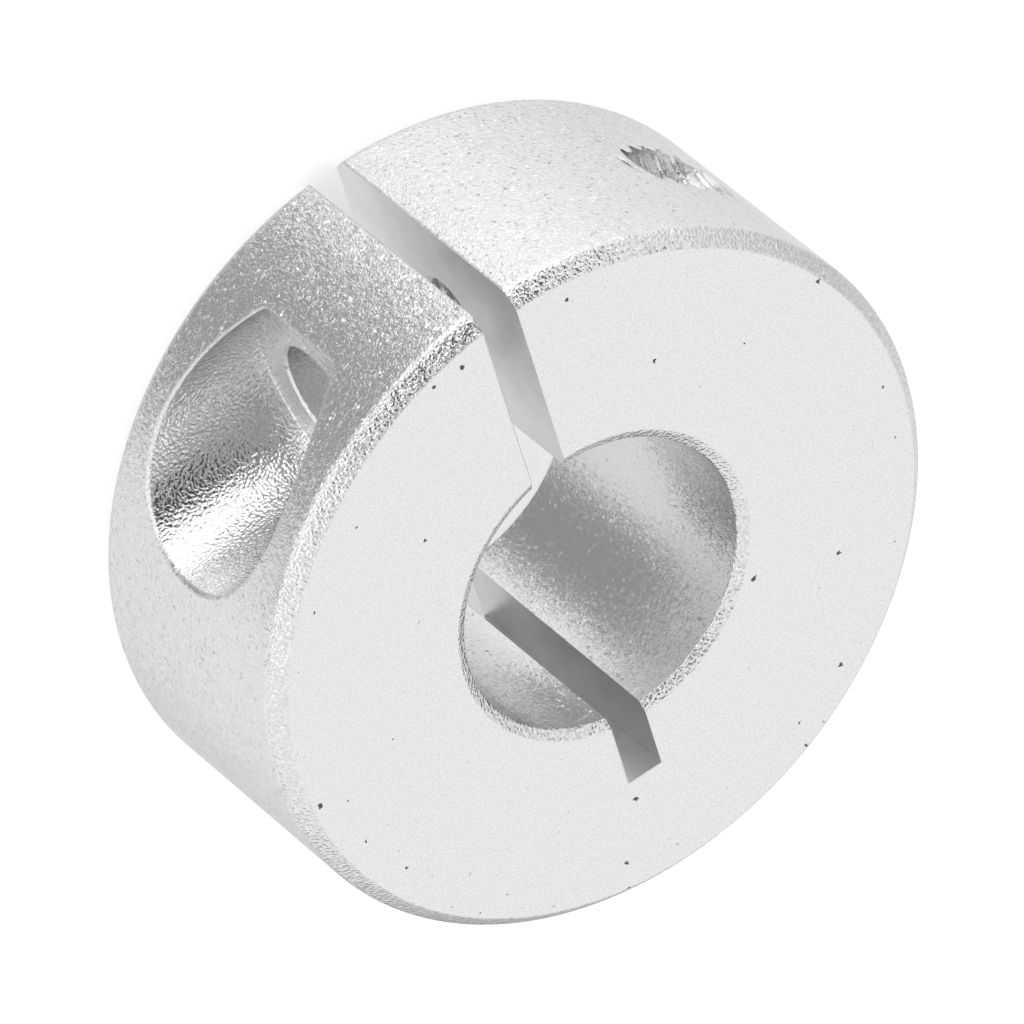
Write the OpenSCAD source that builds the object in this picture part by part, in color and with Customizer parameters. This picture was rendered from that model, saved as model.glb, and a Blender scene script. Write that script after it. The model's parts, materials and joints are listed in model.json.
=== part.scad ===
// One-piece clamping shaft collar with its socket head cap screw.
// The bore axis is Z and the origin is at the middle of the bore. The clamp slit points
// along +Y and the screw runs along X, head at the -X end. The screw is drawn out of its
// hole along its own axis, as when the collar is opened to slip over a shaft.

/* [Collar] */
// Outside diameter
collar_od = 24; // [23:0.5:30]
// Width along the shaft
collar_w = 10; // [9:0.5:14]
// Bore diameter, the shaft size
bore_d = 10; // [8:0.5:10]
// Chamfer on the two outer edges
rim_chamfer = 0.5; // [0.2:0.1:0.8]
// Chamfer on the two bore edges, measured across the face
bore_chamfer_w = 0.35; // [0.1:0.05:0.5]
// The same chamfer, measured along the bore
bore_chamfer_h = 0.2; // [0.1:0.05:0.5]

/* [Clamp slit] */
// Width of the saw cut
slit_w = 1.25; // [0.8:0.05:1.5]
// Web left under the relief notch, opposite the slit
hinge_web = 4.5; // [3:0.1:5]

/* [Screw hole] */
// Distance from the bore axis to the screw axis
screw_offset = 8.2; // [8:0.1:8.6]
// Counterbore diameter
counterbore_d = 6.7; // [6:0.1:7]
// Distance from the tapped jaw's slit face to the counterbore floor
counterbore_floor = 4.9; // [4:0.1:5.5]
// Clearance hole diameter between the counterbore and the slit
clearance_d = 3.8; // [3.2:0.1:4]
// Major diameter of the tapped hole
tapped_d = 3.1; // [3.05:0.05:3.2]

/* [Screw] */
// Nominal thread diameter
thread_d = 3; // [2.8:0.1:3]
// Length under the head
screw_l = 10; // [9:1:12]
// Head diameter
head_d = 5.5; // [5:0.1:5.9]
// Head height
head_h = 3; // [2.5:0.1:3.5]
// Hex socket size across the flats
socket_af = 2.5; // [2:0.5:2.5]
// Depth of the hex socket
socket_depth = 1.6; // [1:0.1:2]
// Distance that the screw is drawn out from its seat
screw_out = 23.6; // [0:0.1:24]

/* [Hidden] */
$fn = 96;
collar_r = collar_od / 2;
bore_r = bore_d / 2;
half_w = collar_w / 2;
// Cutting tools run this far past the metal.
over = 2;
// The saw cut reaches down through the bore to the top of the hinge web.
slit_floor = -(collar_r - hinge_web);
// Plane under the screw's head when it is drawn out
head_seat = -counterbore_floor - screw_out;
// Chamfer on the screw's head, and half of the one on its tip
edge_break = 0.25;
// Height of the drill point under the socket
socket_cone = 0.4;

// A cylinder on the screw axis, from x0 to x1
module on_screw_axis(d, x0, x1) {
  translate([x0, screw_offset, 0])
    rotate([0, 90, 0])
      cylinder(d = d, h = x1 - x0);
}

// Half section of the collar: radius along X, height along Y
module collar_section() {
  polygon([
    [bore_r + bore_chamfer_w, -half_w],
    [collar_r - rim_chamfer, -half_w],
    [collar_r, -half_w + rim_chamfer],
    [collar_r, half_w - rim_chamfer],
    [collar_r - rim_chamfer, half_w],
    [bore_r + bore_chamfer_w, half_w],
    [bore_r, half_w - bore_chamfer_h],
    [bore_r, -half_w + bore_chamfer_h]
  ]);
}

// One saw cut makes the slit and the relief notch on the far side of the bore.
module saw_cut() {
  translate([-slit_w, slit_floor, -half_w - over])
    cube([slit_w, collar_r + over - slit_floor, collar_w + 2 * over]);
}

module collar_ring() {
  color("silver")
    difference() {
      rotate_extrude(angle = 360)
        collar_section();
      saw_cut();
      on_screw_axis(counterbore_d, -collar_r - over, -counterbore_floor);
      on_screw_axis(clearance_d, -counterbore_floor - over, -slit_w / 2);
      on_screw_axis(tapped_d, -slit_w / 2, collar_r + over);
    }
}

// Half section of the screw: radius along X, distance from the head's seat along Y
module screw_section() {
  polygon([
    [0, -head_h],
    [head_d / 2 - edge_break, -head_h],
    [head_d / 2, -head_h + edge_break],
    [head_d / 2, 0],
    [thread_d / 2, 0],
    [thread_d / 2, screw_l - 2 * edge_break],
    [thread_d / 2 - 2 * edge_break, screw_l],
    [0, screw_l]
  ]);
}

// The hexagon that the key turns, with a drill point under it
module hex_socket() {
  translate([0, 0, -head_h - over])
    cylinder(d = socket_af / cos(30), h = over + socket_depth, $fn = 6);
  translate([0, 0, socket_depth - head_h])
    cylinder(d1 = socket_af, d2 = 0, h = socket_cone);
}

module clamp_screw() {
  color("dimgray")
    translate([head_seat, screw_offset, 0])
      rotate([0, 90, 0])
        difference() {
          rotate_extrude(angle = 360)
            screw_section();
          hex_socket();
        }
}

collar_ring();
clamp_screw();
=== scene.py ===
"""A one-piece clamping shaft collar and its screw, lying on a pale floor in soft studio light."""

import json
import math

import bmesh
import bpy
import numpy as np
from mathutils import Matrix, Vector


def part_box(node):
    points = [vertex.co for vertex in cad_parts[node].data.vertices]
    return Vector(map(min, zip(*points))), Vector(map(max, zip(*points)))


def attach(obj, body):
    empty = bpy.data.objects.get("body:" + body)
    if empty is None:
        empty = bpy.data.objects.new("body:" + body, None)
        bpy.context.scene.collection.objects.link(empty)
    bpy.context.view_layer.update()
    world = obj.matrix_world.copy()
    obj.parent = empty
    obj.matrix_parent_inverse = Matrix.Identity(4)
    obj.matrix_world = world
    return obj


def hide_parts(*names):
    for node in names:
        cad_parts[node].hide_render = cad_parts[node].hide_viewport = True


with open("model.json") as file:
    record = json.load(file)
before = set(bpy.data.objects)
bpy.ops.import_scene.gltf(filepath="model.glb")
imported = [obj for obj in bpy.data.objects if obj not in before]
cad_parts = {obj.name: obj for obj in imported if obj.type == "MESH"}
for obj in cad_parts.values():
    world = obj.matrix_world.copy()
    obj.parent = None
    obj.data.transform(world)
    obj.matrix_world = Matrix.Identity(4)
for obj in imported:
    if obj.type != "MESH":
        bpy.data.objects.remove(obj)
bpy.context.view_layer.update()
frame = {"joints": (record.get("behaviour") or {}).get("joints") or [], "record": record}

# ---- Sizes, in millimetres. The first ones come from the CAD frame. ----
MM = 0.001
ring_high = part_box("collar_ring")[1]
screw_low, screw_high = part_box("clamp_screw")
mounts = {m["name"]: m for m in frame["record"]["mounts"]}
COLLAR_R = ring_high.x / MM
HALF_W = ring_high.z / MM
BORE_R = mounts["shaft_bore"]["dims"]["r_mm"]
SCREW_Y = (screw_low.y + screw_high.y) / 2 / MM
SCREW_TIP = screw_high.x / MM
SCREW_TOP = screw_low.x / MM
HEAD_R = (screw_high.z - screw_low.z) / 2 / MM
TRAVEL = frame["joints"][0]["range_m"][1] / MM

# These repeat the part's own driving dimensions.
RIM_CHAMFER = 0.5
BORE_CHAMFER_W = 0.35
BORE_CHAMFER_H = 0.2
SLIT_W = 1.25
SLIT_FLOOR = -7.5
COUNTERBORE_R = 3.35
COUNTERBORE_FLOOR = -4.9
CLEARANCE_R = 1.9
TAPPED_R = 1.55
TAPPED_MINOR_R = 1.28
HEAD_H = 3.0
PITCH = 0.5
THREAD_R = 1.475
THREAD_ROOT_R = 1.19
SOCKET_AF = 2.5
SOCKET_DEPTH = 1.6
SOCKET_CONE = 0.4

# Fine shape of the ring, beyond the part's own dimensions
EDGE_R = 0.06
RIM_EDGE_R = 0.4
BORE_EDGE_R = 0.12
LIP = 0.08
# How deep the edge of the counterbore's mouth is broken, how many times that the cutter reaches to
# each side, and how far past the floor's corner it starts, in radians
MOUTH_BREAK = 0.05
MOUTH_REACH = 4
MOUTH_START = 0.03

# Fine shape of the screw
KNURL_TEETH = 48
KNURL_DEPTH = 0.12
# Where the knurl starts and is full, from the head's top, and where it is last full and ends, from
# its seat
KNURL_FROM_TOP = (0.45, 0.6)
KNURL_FROM_SEAT = (0.45, 0.3)
HEAD_MIDDLE_R = 0.5
HEAD_CORNER_R = 0.33
SEAT_BREAK = 0.13
FILLET_R = 0.12
NECK = 0.4
# The pointed start of the thread: where the thread stops short of the tip, how far below its root
# it begins and how fast it grows from there, and how far below the root the tip itself is
THREAD_STOP = 0.05
LEAD_IN_DROP = 0.12
LEAD_IN_SLOPE = 0.8
TIP_DROP = 0.14
# The cone that breaks the socket's mouth: distances from the head's top and from the corners
SOCKET_MOUTH = ((-0.3, 0.35), (0.2, -0.15))
# The drilled bottom of the socket: how much smaller it is than the hexagon, how far above the
# bottom the drill starts, and the radius of its point
DRILL_GAP = 0.02
DRILL_START = 0.1
DRILL_POINT_R = 0.02

RING_SEGMENTS = 360
HOLE_SEGMENTS = 128
THREAD_SEGMENTS = 64
SCREW_SEGMENTS = 4 * KNURL_TEETH
THREAD_ROWS_PER_PITCH = 12
ARC_POINTS = 5
# Edges that turn by more than this many degrees are shaded sharp.
SHARP_ANGLE = 30
# Cutting tools run this far past the metal.
OVER = 2.0


# ---- Mesh tools ----
def new_object(name, vertices, faces):
    """A mesh object from points in millimetres."""
    mesh = bpy.data.meshes.new(name)
    mesh.from_pydata([tuple(v) for v in vertices], [], [tuple(f) for f in faces])
    mesh.validate()
    obj = bpy.data.objects.new(name, mesh)
    bpy.context.scene.collection.objects.link(obj)
    return obj


def rounded(points, radii, steps=4):
    """The closed outline with each corner turned into an arc of its own radius."""
    out = []
    count = len(points)
    for i in range(count):
        before, corner, after = (np.array(points[(i + k) % count], float) for k in (-1, 0, 1))
        d1 = (before - corner) / np.linalg.norm(before - corner)
        d2 = (after - corner) / np.linalg.norm(after - corner)
        half = math.acos(np.clip(d1 @ d2, -1, 1)) / 2
        radius = radii[i]
        reach = radius / math.tan(half)
        centre = corner + (d1 + d2) / np.linalg.norm(d1 + d2) * radius / math.sin(half)
        first, last = corner + d1 * reach - centre, corner + d2 * reach - centre
        angle = math.atan2(first[0] * last[1] - first[1] * last[0], first @ last)
        for s in range(steps + 1):
            turn = angle * s / steps
            c, k = math.cos(turn), math.sin(turn)
            out.append(centre + [c * first[0] - k * first[1], k * first[0] + c * first[1]])
    return out


def grid_faces(rows, columns, close_rows=False):
    """Quads of a tube: each row is a closed ring of points, and close_rows joins the last row to
    the first."""
    faces = []
    for i in range(rows if close_rows else rows - 1):
        j = (i + 1) % rows
        for k in range(columns):
            m = (k + 1) % columns
            faces.append((i * columns + k, i * columns + m, j * columns + m, j * columns + k))
    return faces


def ring_solid(name, profile, segments):
    """Turns a closed outline of (radius, height) points about Z."""
    angles = np.arange(segments) * 2 * math.pi / segments
    vertices = []
    for r, z in profile:
        vertices += [(r * math.cos(a), r * math.sin(a), z) for a in angles]
    return new_object(name, vertices, grid_faces(len(profile), segments, close_rows=True))


def rod_solid(name, rows):
    """A closed solid about the screw axis, from rings of (x, radius) arrays with one value for
    each segment."""
    segments = len(rows[0][0])
    angles = np.arange(segments) * 2 * math.pi / segments
    vertices = []
    for x, r in rows:
        vertices += list(zip(x, SCREW_Y + r * np.cos(angles), r * np.sin(angles)))
    faces = grid_faces(len(rows), segments)
    last = (len(rows) - 1) * segments
    faces.append(tuple(reversed(range(segments))))
    faces.append(tuple(last + k for k in range(segments)))
    return new_object(name, vertices, faces)


def turned(name, profile, segments):
    """A plain turned solid about the screw axis, from (x, radius) points."""
    return rod_solid(name, [(np.full(segments, x), np.full(segments, r)) for x, r in profile])


def prism(name, outline, z0, z1):
    """The outline, in X and Y, between two heights."""
    count = len(outline)
    vertices = [(x, y, z) for z in (z0, z1) for x, y in outline]
    faces = [(k, (k + 1) % count, count + (k + 1) % count, count + k) for k in range(count)]
    faces += [tuple(reversed(range(count))), tuple(range(count, 2 * count))]
    return new_object(name, vertices, faces)


def outward(obj):
    """Turns every face of a closed mesh outwards."""
    bm = bmesh.new()
    bm.from_mesh(obj.data)
    bmesh.ops.recalc_face_normals(bm, faces=bm.faces)
    bm.to_mesh(obj.data)
    bm.free()


def combine(target, tool, operation):
    """Applies one boolean to the target's mesh and removes the tool."""
    outward(target)
    outward(tool)
    modifier = target.modifiers.new(operation, "BOOLEAN")
    modifier.operation = operation
    modifier.object = tool
    modifier.solver = "MANIFOLD"
    graph = bpy.context.evaluated_depsgraph_get()
    mesh = bpy.data.meshes.new_from_object(target.evaluated_get(graph))
    target.modifiers.clear()
    target.data = mesh
    bpy.data.objects.remove(tool)


def thread_wave(phase):
    """1 on a crest flat and 0 on a root flat of a 60 degree thread. All is counted in pitches."""
    crest, root = 1 / 8, 1 / 4
    distance = np.abs((phase + 0.5) % 1 - 0.5)
    return np.clip((0.5 - root / 2 - distance) / (0.5 - root / 2 - crest / 2), 0, 1)


def thread_rows(x0, x1, low, high, segments):
    """Rings of a right-hand thread between two places on the axis."""
    turn = np.arange(segments) / segments
    count = int(round((x1 - x0) / PITCH * THREAD_ROWS_PER_PITCH)) + 1
    rows = []
    for x in np.linspace(x0, x1, count):
        wave = thread_wave(x / PITCH - turn)
        rows.append((np.full(segments, x), low + (high - low) * wave))
    return rows


# ---- The ring ----
def mouth_break():
    """A cutter that follows the counterbore's mouth round the outside of the ring and breaks its
    edge, from one corner of the floor to the other."""
    corner_y = math.sqrt(COLLAR_R ** 2 - COUNTERBORE_FLOOR ** 2)
    start = math.acos((corner_y - SCREW_Y) / COUNTERBORE_R) + MOUTH_START
    reach = MOUTH_REACH
    section = ((-reach, -1), (reach, -1), (reach, reach), (-reach, reach))
    vertices = []
    for turn in np.linspace(start, 2 * math.pi - start, HOLE_SEGMENTS):
        c, k = math.cos(turn), math.sin(turn)
        y = SCREW_Y + COUNTERBORE_R * c
        point = Vector((-math.sqrt(COLLAR_R ** 2 - y ** 2), y, COUNTERBORE_R * k))
        outside = Vector((point.x, point.y, 0)).normalized()
        inside = Vector((0, -c, -k))
        out = (outside + inside).normalized()
        across = outside.cross(inside).cross(out).normalized()
        for a, b in section:
            vertices.append(point + (across * a + out * b) * MOUTH_BREAK)
    faces = grid_faces(HOLE_SEGMENTS, len(section))
    last = len(section) * (HOLE_SEGMENTS - 1)
    faces += [(3, 2, 1, 0), (last, last + 1, last + 2, last + 3)]
    return new_object("mouth_break", vertices, faces)


def ring_outline():
    """The ring's section on one side of its axis, with its chamfers."""
    half = [
        (BORE_R, HALF_W - BORE_CHAMFER_H), (BORE_R + BORE_CHAMFER_W, HALF_W),
        (COLLAR_R - RIM_CHAMFER, HALF_W), (COLLAR_R, HALF_W - RIM_CHAMFER),
    ]
    points = half + [(r, -z) for r, z in reversed(half)]
    radii = [BORE_EDGE_R, BORE_EDGE_R, EDGE_R, RIM_EDGE_R]
    radii += reversed(radii)
    return rounded(points, radii)


def make_ring():
    """The turned ring, sawn, counterbored, drilled and tapped."""
    ring = ring_solid("split_ring", ring_outline(), RING_SEGMENTS)
    saw = prism(
        "saw",
        [(-SLIT_W, SLIT_FLOOR), (0, SLIT_FLOOR), (0, COLLAR_R + OVER), (-SLIT_W, COLLAR_R + OVER)],
        -HALF_W - OVER, HALF_W + OVER,
    )
    combine(ring, saw, "DIFFERENCE")
    counterbore = turned(
        "counterbore",
        [(-COLLAR_R - OVER, COUNTERBORE_R), (COUNTERBORE_FLOOR - EDGE_R, COUNTERBORE_R),
         (COUNTERBORE_FLOOR, COUNTERBORE_R - EDGE_R)],
        HOLE_SEGMENTS,
    )
    combine(ring, counterbore, "DIFFERENCE")
    combine(ring, mouth_break(), "DIFFERENCE")
    clearance = turned(
        "clearance",
        [(COUNTERBORE_FLOOR - OVER, CLEARANCE_R + LIP), (COUNTERBORE_FLOOR, CLEARANCE_R + LIP),
         (COUNTERBORE_FLOOR + LIP, CLEARANCE_R), (-SLIT_W / 2, CLEARANCE_R)],
        HOLE_SEGMENTS,
    )
    combine(ring, clearance, "DIFFERENCE")
    tap = rod_solid(
        "tap",
        thread_rows(-SLIT_W / 2, COLLAR_R, TAPPED_MINOR_R, TAPPED_R, THREAD_SEGMENTS),
    )
    combine(ring, tap, "DIFFERENCE")
    return ring


# ---- The screw ----
def even_ring(x, r):
    """A round ring of the screw, for rod_solid."""
    return np.full(SCREW_SEGMENTS, x), np.full(SCREW_SEGMENTS, r)


def head_rows(top, seat):
    """Rings of the straight-knurled head, from its top to the plane that it seats on."""
    side = HEAD_R - KNURL_DEPTH
    corner = side - HEAD_CORNER_R
    rows = [even_ring(top, HEAD_MIDDLE_R)]
    for turn in np.linspace(0, math.pi / 2, ARC_POINTS):
        rows.append(even_ring(
            top + HEAD_CORNER_R * (1 - math.cos(turn)), corner + HEAD_CORNER_R * math.sin(turn)
        ))
    teeth = np.abs(np.arange(SCREW_SEGMENTS) / SCREW_SEGMENTS * KNURL_TEETH % 1 - 0.5) * 2
    start, full = KNURL_FROM_TOP
    last_full, end = KNURL_FROM_SEAT
    for x, height in ((top + start, 0), (top + full, 1), (seat - last_full, 1), (seat - end, 0)):
        rows.append((np.full(SCREW_SEGMENTS, x), side + KNURL_DEPTH * height * teeth))
    return rows + [even_ring(seat - SEAT_BREAK, side), even_ring(seat, side - SEAT_BREAK)]


def shank_rows(seat, tip):
    """Rings of the fillet under the head, the short neck and the thread up to its pointed start."""
    rows = []
    for turn in np.linspace(0, math.pi / 2, ARC_POINTS):
        rows.append(even_ring(
            seat + FILLET_R * (1 - math.cos(turn)), THREAD_R + FILLET_R * (1 - math.sin(turn))
        ))
    thread = thread_rows(seat + NECK, tip - THREAD_STOP, THREAD_ROOT_R, THREAD_R, SCREW_SEGMENTS)
    for x, r in thread:
        run_out = min(1.0, (x[0] - seat - NECK) / PITCH)
        lead_in = THREAD_ROOT_R - LEAD_IN_DROP + (tip - x[0]) * LEAD_IN_SLOPE
        rows.append((x, np.minimum(THREAD_R + (r - THREAD_R) * run_out, lead_in)))
    return rows + [even_ring(tip, THREAD_ROOT_R - TIP_DROP)]


def make_screw():
    """The screw, made where it seats, so that its thread matches the hole's, then drawn out."""
    top = SCREW_TOP + TRAVEL
    seat = top + HEAD_H
    tip = SCREW_TIP + TRAVEL
    screw = rod_solid("cap_screw", head_rows(top, seat) + shank_rows(seat, tip))
    corner = SOCKET_AF / 2 / math.cos(math.pi / 6)
    drill_r = SOCKET_AF / 2 - DRILL_GAP
    bottom = top + SOCKET_DEPTH
    mouth = [(top + x, corner + r) for x, r in SOCKET_MOUTH]
    point = [
        (bottom - DRILL_START, drill_r), (bottom, drill_r), (bottom + SOCKET_CONE, DRILL_POINT_R)
    ]
    combine(screw, turned("socket", [(top - OVER, corner), (bottom, corner)], 6), "DIFFERENCE")
    combine(screw, turned("socket_mouth", mouth, HOLE_SEGMENTS), "DIFFERENCE")
    combine(screw, turned("drill_point", point, HOLE_SEGMENTS), "DIFFERENCE")
    screw.data.transform(Matrix.Translation((-TRAVEL, 0, 0)))
    return screw


def finish_mesh(obj):
    """Scales a mesh made in millimetres to metres and shades it smooth between its sharp edges."""
    obj.data.transform(Matrix.Scale(MM, 4))
    obj.data.polygons.foreach_set("use_smooth", [True] * len(obj.data.polygons))
    obj.data.set_sharp_from_angle(angle=math.radians(SHARP_ANGLE))
    obj.data.update()


ring = make_ring()
finish_mesh(ring)
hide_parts("collar_ring")
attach(ring, "collar")

screw = make_screw()
finish_mesh(screw)
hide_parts("clamp_screw")
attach(screw, "screw")


# ---- Materials ----
class Shader:
    """Short names for making and joining the shader nodes of one material or world."""

    def __init__(self, owner):
        self.owner = owner
        owner.use_nodes = True
        self.tree = owner.node_tree
        self.tree.nodes.clear()

    def node(self, kind, inputs=None, **settings):
        """A node with its inputs linked to other nodes' outputs or set to values."""
        made = self.tree.nodes.new(kind)
        for key, value in settings.items():
            setattr(made, key, value)
        for key, value in (inputs or {}).items():
            if hasattr(value, "is_output"):
                self.tree.links.new(value, made.inputs[key])
            else:
                made.inputs[key].default_value = value
        return made

    def math(self, operation, a, b=0.0):
        return self.node("ShaderNodeMath", {0: a, 1: b}, operation=operation).outputs[0]

    def vector(self, operation, a, b=(0, 0, 0), scale=1.0):
        inputs = {0: a, "Scale": scale} if operation == "SCALE" else {0: a, 1: b}
        made = self.node("ShaderNodeVectorMath", inputs, operation=operation)
        return made.outputs["Value" if operation in ("DOT_PRODUCT", "LENGTH") else "Vector"]

    def ramp(self, value, low, high, out_low=0.0, out_high=1.0, kind="LINEAR"):
        """The value carried from the range low to high to the range out_low to out_high."""
        inputs = {
            "Value": value, "From Min": low, "From Max": high, "To Min": out_low, "To Max": out_high
        }
        return self.node("ShaderNodeMapRange", inputs, interpolation_type=kind).outputs["Result"]

    def mix(self, factor, first, second):
        inputs = {"Factor": factor, 6: first, 7: second}
        return self.node("ShaderNodeMix", inputs, data_type="RGBA").outputs[2]

    def millimetres(self):
        """Object coordinates in millimetres."""
        place = self.node("ShaderNodeTexCoord").outputs["Object"]
        return self.vector("SCALE", place, scale=1 / MM)

    def noise(self, place, scale, detail=2.0, roughness=0.5):
        inputs = {"Vector": place, "Scale": scale, "Detail": detail, "Roughness": roughness}
        return self.node("ShaderNodeTexNoise", inputs).outputs[0]

    def bevel(self, radius):
        """Normals that round the sharp edges by a radius in millimetres."""
        return self.node("ShaderNodeBevel", {"Radius": radius * MM}, samples=4).outputs[0]

    def bump(self, height, depth, normal):
        """Normals of a surface whose height, 0 to 1, stands for a depth in millimetres."""
        inputs = {"Height": height, "Distance": depth * MM, "Normal": normal}
        return self.node("ShaderNodeBump", inputs).outputs[0]

    def metal(self, colour, metallic, roughness, normal):
        """The finished material, as a metal."""
        inputs = {
            "Base Color": colour, "Metallic": metallic, "Roughness": roughness, "Normal": normal
        }
        return self.finish(self.node("ShaderNodeBsdfPrincipled", inputs).outputs[0])

    def finish(self, shader):
        self.node("ShaderNodeOutputMaterial", {"Surface": shader})
        return self.owner


# Grain of a blasted face: dents in a millimetre, their detail, and how strong the fine grain is
FULL_GRAIN = (6.5, 2.0, 0.6)
SOFT_GRAIN = (10.0, 0.5, 0.1)
CLOSE_GRAIN = (11.0, 1.0, 0.5)
# The dark colour of the pits is painted shade.
PIT_SHADE_COLOUR = (0.12, 0.115, 0.11, 1)
OXIDE_COLOUR = (0.04, 0.04, 0.043, 1)
WORN_COLOUR = (0.3, 0.29, 0.28, 1)
# A face lies on a plane or cylinder if it is within this many millimetres of it.
NEAR = 0.02
# A face is square to an axis if its normal is at least this much along it.
SQUARE = 0.99


def blasted_aluminium(
    name, roughness, depth, facets, edge_r, tint, grain=FULL_GRAIN, painted_dent_shade=0.05, pits=False
):
    """Bead-blasted bare aluminium: overlapping dents, and single facets that glint.
    depth is the height of the dents and edge_r the radius of worn edges, in millimetres, facets how
    far the facets tilt, and painted_dent_shade how much painted shade darkens the bottoms of the
    dents."""
    s = Shader(bpy.data.materials.new(name))
    place = s.millimetres()
    per_mm, detail, fine = grain
    dents = s.noise(place, per_mm, detail, 0.6)
    height = s.math("ADD", dents, s.math("MULTIPLY", s.noise(place, 15.0, 1.0), fine))
    middle = (1 + fine) / 2
    # Painted shade: the bottoms of the dents are coloured darker.
    shade = s.ramp(height, middle - 0.15, middle + 0.15, 1.0 - painted_dent_shade, 1.0)
    colour = s.vector("SCALE", tint, scale=shade)
    if pits:
        holes = pit_mask(s, place)
        height = s.math("SUBTRACT", height, s.math("MULTIPLY", holes, 1.5))
        # Painted shade: the pits are coloured dark.
        colour = s.mix(holes, colour, PIT_SHADE_COLOUR)
    bumped = s.bump(height, depth, s.bevel(edge_r))
    cells = s.node("ShaderNodeTexVoronoi", {"Vector": place, "Scale": 10.0}).outputs["Color"]
    lean = s.vector("SUBTRACT", cells, (0.5, 0.5, 0.5))
    reach = s.math("MULTIPLY", s.math("POWER", s.vector("LENGTH", lean), 3.0), facets)
    tilted = s.vector("ADD", bumped, s.vector("SCALE", lean, scale=reach))
    return s.metal(colour, 1.0, roughness, s.vector("NORMALIZE", tilted))


def pit_mask(s, place):
    """1 in small ragged pits in the end faces, which crowd towards the outer rim."""
    ragged = s.node("ShaderNodeTexNoise", {"Vector": place, "Scale": 9.0}).outputs["Color"]
    bent = s.vector("ADD", place, s.vector("SCALE", ragged, scale=0.25))
    dots = s.node("ShaderNodeTexVoronoi", {"Vector": bent, "Scale": 1.0}, voronoi_dimensions="2D")
    lot = s.node("ShaderNodeSeparateColor", {0: dots.outputs["Color"]}).outputs
    parts = s.node("ShaderNodeSeparateXYZ", {0: place}).outputs
    flat = s.node("ShaderNodeCombineXYZ", {0: parts[0], 1: parts[1]}).outputs[0]
    radius = s.vector("LENGTH", flat)
    crowd = s.ramp(radius, COLLAR_R - 2.0, COLLAR_R - 0.4, 0.92, 0.55)
    chosen = s.math("GREATER_THAN", lot[0], crowd)
    reach = s.math("ADD", s.math("MULTIPLY", s.math("POWER", lot[1], 3.0), 0.08), 0.02)
    inside = s.math("LESS_THAN", dots.outputs["Distance"], reach)
    return s.math("MULTIPLY", inside, chosen)


def sawn_aluminium(name):
    """The smooth satin face that a slitting saw leaves, with painted shade that darkens its walls
    towards the bottom of the cut, and painted light that brightens the floor of the cut.
    """
    s = Shader(bpy.data.materials.new(name))
    place = s.millimetres()
    stretched = s.node("ShaderNodeMapping", {"Vector": place, "Scale": (1, 9, 0.6)}).outputs[0]
    marks = s.noise(stretched, 1.6, 3.0)
    height = s.math("ADD", marks, s.math("MULTIPLY", s.noise(place, 12.0), 0.35))
    up_the_cut = s.node("ShaderNodeSeparateXYZ", {0: place}).outputs[1]
    # Painted shade: the walls darken towards the bottom of the cut. Painted light: the floor of the
    # cut is brought back up to the brightness of the walls' top.
    walls = s.ramp(up_the_cut, SLIT_FLOOR + 1.5, 0.0, 0.74, 0.95)
    floor = s.math("MULTIPLY", s.math("LESS_THAN", up_the_cut, SLIT_FLOOR + NEAR), 0.21)
    clouds = s.ramp(s.noise(place, 1.1, 3.0), 0.35, 0.65, 0.94, 1.0)
    streaks = s.ramp(marks, 0.35, 0.65, 0.93, 1.0)
    shade = s.math("MULTIPLY", s.math("ADD", walls, floor), s.math("MULTIPLY", clouds, streaks))
    colour = s.vector("SCALE", (1, 1, 0.995), scale=shade)
    return s.metal(colour, 1.0, 0.34, s.bump(height, 0.005, s.bevel(0.03)))


def black_oxide(name):
    """Oiled black oxide on steel, rubbed through to the metal along the sharp edges."""
    s = Shader(bpy.data.materials.new(name))
    place = s.millimetres()
    rim = s.bevel(0.06)
    flat = s.node("ShaderNodeNewGeometry").outputs["Normal"]
    facing = s.vector("DOT_PRODUCT", rim, flat)
    patches = s.ramp(s.noise(place, 3.0, 3.0), 0.4, 0.6)
    wear = s.math("MULTIPLY", s.ramp(facing, 0.99, 0.9, 0.0, 0.6), patches)
    colour = s.mix(wear, OXIDE_COLOUR, WORN_COLOUR)
    roughness = s.ramp(s.noise(place, 1.2, 2.0), 0.3, 0.7, 0.3, 0.44)
    return s.metal(colour, 0.6, roughness, s.bump(s.noise(place, 9.0), 0.004, rim))


# The ring's zones, in the order of its materials
OUTSIDE, RIM_CHAMFERS, BORE_CHAMFERS, ENDS, BORE, SAWN, COUNTERBORE, DRILLED = range(8)


def face_zone(centre, normal):
    """The zone of one face of the ring, from where it lies, in millimetres, and how it faces."""
    x, y, z = centre
    nx, ny, nz = normal
    from_axis = math.hypot(x, y)
    from_screw = math.hypot(y - SCREW_Y, z)
    sawn_side = abs(nx) > SQUARE and (abs(x) < NEAR or abs(x + SLIT_W) < NEAR)
    sawn_floor = ny > SQUARE and abs(y - SLIT_FLOOR) < NEAR
    if sawn_side or sawn_floor:
        return SAWN
    if abs(nz) > SQUARE and abs(z) > HALF_W - NEAR:
        return ENDS
    if abs(from_axis - BORE_R) < NEAR and abs(nz) < 0.3:
        return BORE
    if abs(z) > HALF_W - RIM_CHAMFER - NEAR and abs(nz) > 0.35:
        return RIM_CHAMFERS if from_axis > (COLLAR_R + BORE_R) / 2 else BORE_CHAMFERS
    if from_axis > COLLAR_R - NEAR:
        return OUTSIDE
    in_hole = from_screw < CLEARANCE_R + NEAR
    in_lip = from_screw < CLEARANCE_R + LIP + NEAR and nx > -0.9
    if in_hole or in_lip:
        return DRILLED
    if x < COUNTERBORE_FLOOR + NEAR and from_screw < COUNTERBORE_R + NEAR:
        return COUNTERBORE
    return OUTSIDE


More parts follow.
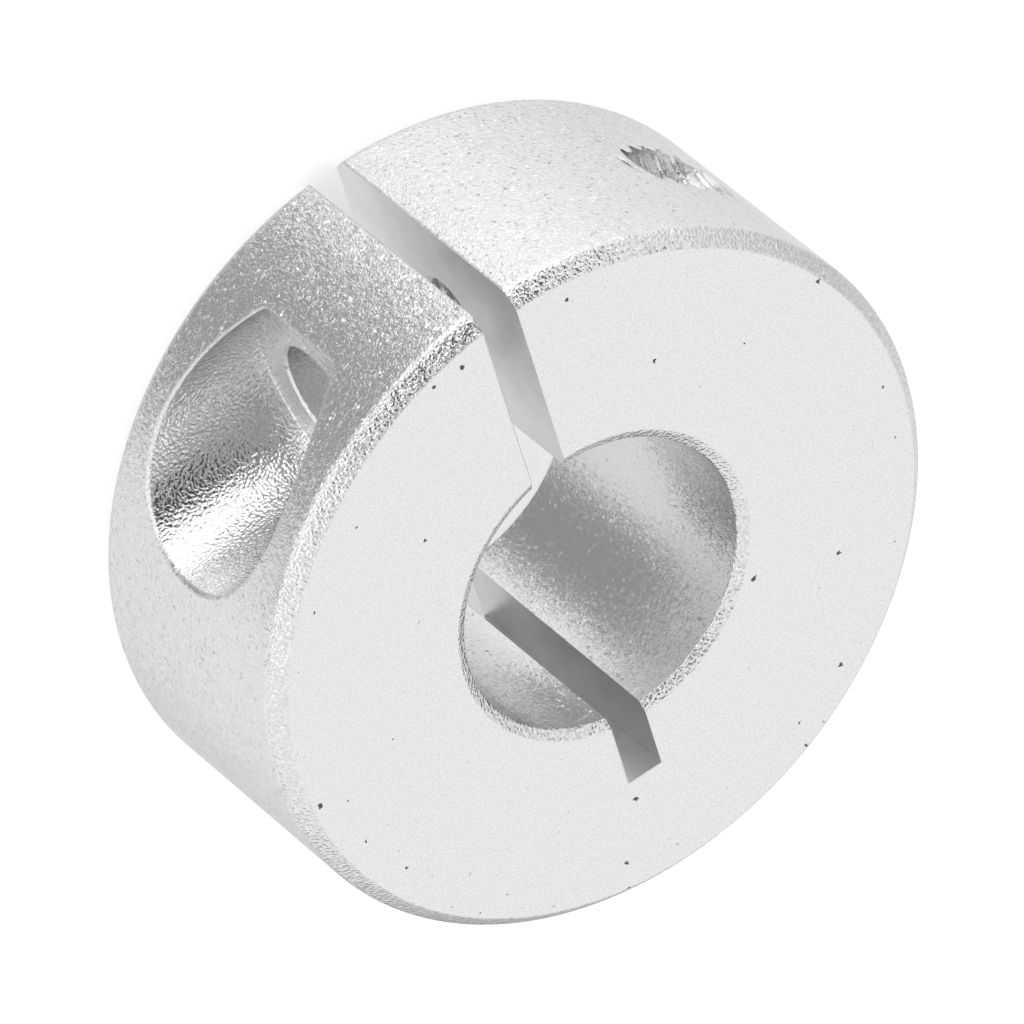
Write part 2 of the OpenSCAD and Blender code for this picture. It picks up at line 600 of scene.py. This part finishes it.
ring.data.materials.clear()
for material in (
    blasted_aluminium("blasted_outside", 0.19, 0.03, 1.1, 0.16, (0.94, 0.94, 0.935)),
    blasted_aluminium(
        "blasted_rim_chamfers", 0.15, 0.05, 0.9, 0.16, (0.93, 0.93, 0.925), SOFT_GRAIN, 0.15
    ),
    blasted_aluminium(
        "blasted_bore_chamfers", 0.13, 0.06, 0.4, 0.05, (0.93, 0.93, 0.925), SOFT_GRAIN, 0.2
    ),
    blasted_aluminium(
        "blasted_ends", 0.22, 0.02, 0.6, 0.1, (0.94, 0.94, 0.935), CLOSE_GRAIN, 0.1, pits=True
    ),
    blasted_aluminium("blasted_bore", 0.21, 0.014, 0.7, 0.03, (0.84, 0.84, 0.835)),
    sawn_aluminium("sawn_faces"),
    blasted_aluminium(
        "milled_counterbore", 0.14, 0.03, 0.2, 0.1, (0.9, 0.9, 0.895), SOFT_GRAIN, 0.1
    ),
    blasted_aluminium("drilled_holes", 0.22, 0.03, 0.9, 0.03, (0.93, 0.93, 0.925)),
):
    ring.data.materials.append(material)
zones = [face_zone(face.center / MM, face.normal) for face in ring.data.polygons]
ring.data.polygons.foreach_set("material_index", zones)
screw.data.materials.clear()
screw.data.materials.append(black_oxide("black_oxide"))


# ---- Floor, light and camera ----
# Half the floor's side, in metres, its colour, and how much light of its own it gives
FLOOR_HALF = 0.6
FLOOR_COLOUR = (0.9, 0.9, 0.9, 1)
FLOOR_GLOW = 0.5


def make_floor():
    """A pale floor, which glows a little to stay plain, and which the metal doesn't mirror."""
    h = FLOOR_HALF
    floor = new_object("floor", [(-h, -h, 0), (h, -h, 0), (h, h, 0), (-h, h, 0)], [(0, 1, 2, 3)])
    floor.location.z = -HALF_W * MM
    s = Shader(bpy.data.materials.new("floor_white"))
    diffuse = s.node("ShaderNodeBsdfDiffuse", {"Color": FLOOR_COLOUR})
    glow = s.node("ShaderNodeEmission", {"Color": (1, 1, 1, 1), "Strength": FLOOR_GLOW})
    both = s.node("ShaderNodeAddShader", {0: diffuse.outputs[0], 1: glow.outputs[0]})
    floor.data.materials.append(s.finish(both.outputs[0]))
    floor.visible_glossy = False


# Parts of the studio that the metal mirrors: azimuth from +X towards +Y and elevation of the
# middle, half angles of the even middle and of the soft edge, and brightness beside the walls' 1.
STUDIO_PATCHES = {
    "photographer": (80, 46, 8, 28, 0.06),
    "photographer_side": (120, 44, 10, 40, 0.72),
    "camera_stand": (124, -45, 15, 39, 0.4),
    "table_window": (52, -45, 10, 28, 1.2),
    "strip_light": (72, -8, 14, 28, 1.6),
    "table": (0, -90, 30, 70, 0.88),
    "room_behind": (-88, -14, 12, 38, 0.56),
    "room_beside": (-12, 2, 12, 40, 0.68),
}
WALL_LIGHT = 0.9
# A long low window: middle azimuth, elevation, half width and half height of the even middle and of
# the soft edge, and the brightness that it adds
LOW_WINDOW = (125, 15, (35, 65), (5, 10), 0.7)


def towards(azimuth, elevation):
    """The direction at an azimuth and an elevation in degrees."""
    a, e = math.radians(azimuth), math.radians(elevation)
    return (math.cos(a) * math.cos(e), math.sin(a) * math.cos(e), math.sin(e))


def make_world():
    """White studio walls with a dark side where the photographer stands, a strip light and other
    soft patches, and one long low window."""
    world = bpy.data.worlds.new("studio")
    bpy.context.scene.world = world
    s = Shader(world)
    direction = s.node("ShaderNodeTexCoord").outputs["Generated"]
    strength = WALL_LIGHT
    for azimuth, elevation, inner, outer, level in STUDIO_PATCHES.values():
        facing = s.vector("DOT_PRODUCT", direction, towards(azimuth, elevation))
        edge, middle = math.cos(math.radians(outer)), math.cos(math.radians(inner))
        patch = s.ramp(facing, edge, middle, 1.0, level, "SMOOTHSTEP")
        strength = s.math("MULTIPLY", patch, strength)

    azimuth, elevation, widths, heights, level = LOW_WINDOW
    parts = s.node("ShaderNodeSeparateXYZ", {0: direction}).outputs
    flat = s.node("ShaderNodeCombineXYZ", {0: parts[0], 1: parts[1]}).outputs[0]
    facing = s.vector("DOT_PRODUCT", s.vector("NORMALIZE", flat), towards(azimuth, 0))
    middle, edge = (math.cos(math.radians(width)) for width in widths)
    across = s.ramp(facing, edge, middle, 0.0, level, "SMOOTHSTEP")
    off = s.math("ABSOLUTE", s.math("SUBTRACT", parts[2], math.sin(math.radians(elevation))))
    middle, edge = (math.sin(math.radians(height)) for height in heights)
    upright = s.ramp(off, edge, middle, 0.0, 1.0, "SMOOTHSTEP")
    strength = s.math("ADD", strength, s.math("MULTIPLY", across, upright))
    background = s.node("ShaderNodeBackground", {"Color": (1, 1, 1, 1), "Strength": strength})
    s.node("ShaderNodeOutputWorld", {"Surface": background.outputs[0]})


# The camera that the photographed view needs: degrees, millimetres and a lens for this sensor
CAMERA_AZIMUTH = 204.4
CAMERA_ELEVATION = 44.83
CAMERA_ROLL = 129.23
CAMERA_DISTANCE = 499.4
CAMERA_LENS = 569.9
CAMERA_SENSOR = 36
# Nearest and furthest that the camera sees, in metres
CAMERA_CLIP = (0.01, 10)
# How far the middle of the picture lies from the bore's middle, to the right and up, in millimetres
CAMERA_SIDE = -0.1
CAMERA_RISE = 0.035


def make_camera():
    """The camera, aimed beside the bore's middle and rolled about its own axis."""
    azimuth, elevation, roll = map(math.radians, (CAMERA_AZIMUTH, CAMERA_ELEVATION, CAMERA_ROLL))
    back = Vector((
        math.sin(azimuth) * math.cos(elevation),
        -math.cos(azimuth) * math.cos(elevation),
        math.sin(elevation),
    ))
    level = back.to_track_quat("Z", "Y").to_matrix()
    turn = level @ Matrix.Rotation(roll, 3, "Z")
    right, up = turn.col[0], turn.col[1]
    camera = bpy.data.objects.new("camera", bpy.data.cameras.new("camera"))
    bpy.context.scene.collection.objects.link(camera)
    aim = (right * CAMERA_SIDE + up * CAMERA_RISE) * MM
    camera.matrix_world = Matrix.Translation(aim + back * CAMERA_DISTANCE * MM) @ turn.to_4x4()
    camera.data.lens = CAMERA_LENS
    camera.data.sensor_width = CAMERA_SENSOR
    camera.data.clip_start, camera.data.clip_end = CAMERA_CLIP
    bpy.context.scene.camera = camera


make_floor()
make_world()
make_camera()
bpy.context.scene.view_settings.view_transform = "Standard"
# Light bounces many times inside the bore and the counterbore.
GLOSSY_BOUNCES = 10
bpy.context.scene.cycles.glossy_bounces = GLOSSY_BOUNCES
